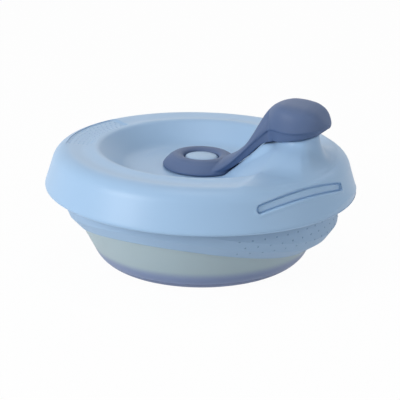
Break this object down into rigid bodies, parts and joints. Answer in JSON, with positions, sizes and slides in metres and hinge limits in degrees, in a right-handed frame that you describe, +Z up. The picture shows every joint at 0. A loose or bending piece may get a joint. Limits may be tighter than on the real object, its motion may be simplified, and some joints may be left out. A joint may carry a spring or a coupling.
{
  "type": "baby bowl with lid",
  "caption": "Frosted baby feeding bowl with a soft grip band and a wide collar lid, whose flared pouring spout is closed by a cap on a tether that hinges open.",
  "frame": {"origin": "middle of the flat underside, on the bowl's axis", "axes": "+Z up, +X from the bowl's axis towards the spout, +Y completes the right-handed frame"},
  "size_m": [0.1393, 0.1394, 0.0753],
  "materials": {
    "bowl_frosted": "frosted, translucent",
    "pad_blue": "soft, satin",
    "band_blue": "soft, satin, dotted under the spout",
    "lid_blue": "satin",
    "seal_pale": "soft, satin",
    "cap_blue": "soft, matt silicone"
  },
  "bodies": {
    "bowl": {"bowl": "bowl_frosted", "base_pad": "pad_blue", "grip_band": "band_blue"},
    "lid": {"lid_collar": "lid_blue", "rim_seal": "seal_pale", "tether_button": "lid_blue", "tether_ring": "cap_blue"},
    "cap": {"spout_cap": "cap_blue"}
  },
  "joints": [
    {"name": "lid_lift", "type": "slide", "parent": "bowl", "child": "lid", "axis": [0, 0, 1], "range_m": [0, 0.06]},
    {"name": "cap_flip", "type": "hinge", "parent": "lid", "child": "cap", "pos_m": [0.01576, 0, 0.05055], "axis": [0, -1, 0], "range_deg": [0, 110]}
  ]
}
